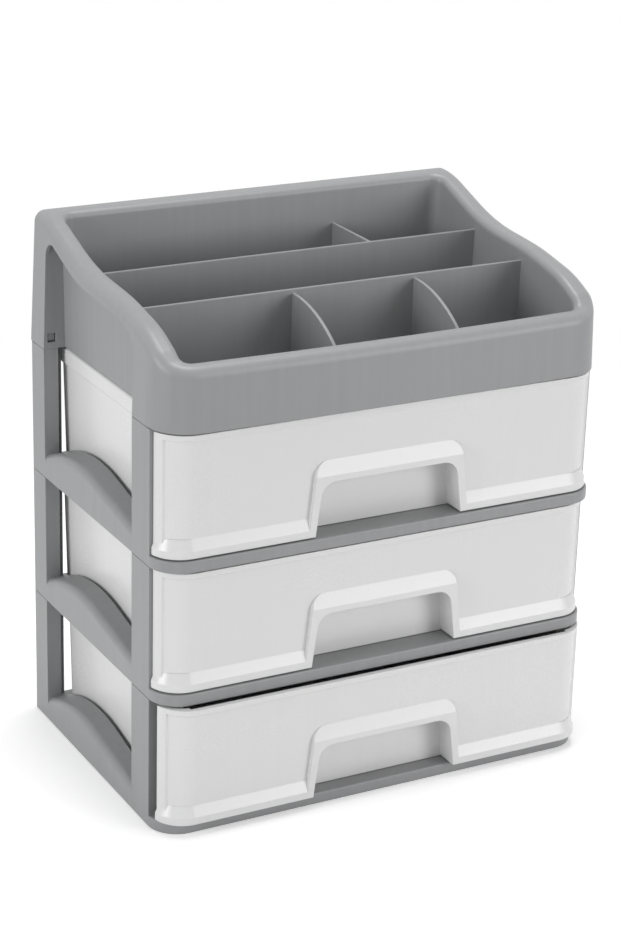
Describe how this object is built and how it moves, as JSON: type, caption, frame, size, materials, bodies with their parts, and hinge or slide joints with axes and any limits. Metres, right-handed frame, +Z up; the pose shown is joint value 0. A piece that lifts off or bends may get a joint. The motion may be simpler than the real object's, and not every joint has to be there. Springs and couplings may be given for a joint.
{
  "type": "tiered makeup organizer",
  "caption": "Stackable plastic organizer tower: open side frames, pull-out drawers with arched finger pulls, and a divided tray on top with a rim that sweeps down to the front.",
  "frame": {"origin": "centre of the underside, under the middle of the whole tower with its bottom drawer ajar", "axes": "+Z up, -Y towards the user at the drawer fronts, +X to the user's right"},
  "size_m": [0.265, 0.1788, 0.2993],
  "materials": {
    "grey_plastic": "light grey injection moulding, satin",
    "white_plastic": "white injection moulding, glossy"
  },
  "bodies": {
    "tower": {"frame_bottom": "grey_plastic", "frame_middle": "grey_plastic", "frame_top": "grey_plastic", "organizer_tray": "grey_plastic"},
    "drawer_bottom": {"drawer_bottom": "white_plastic"},
    "drawer_middle": {"drawer_middle": "white_plastic"},
    "drawer_top": {"drawer_top": "white_plastic"}
  },
  "joints": [
    {"name": "drawer_bottom_slide", "type": "slide", "parent": "tower", "child": "drawer_bottom", "axis": [0, -1, 0], "range_m": [-0.006, 0.13]},
    {"name": "drawer_middle_slide", "type": "slide", "parent": "tower", "child": "drawer_middle", "axis": [0, -1, 0], "range_m": [0, 0.13]},
    {"name": "drawer_top_slide", "type": "slide", "parent": "tower", "child": "drawer_top", "axis": [0, -1, 0], "range_m": [0, 0.13]}
  ]
}
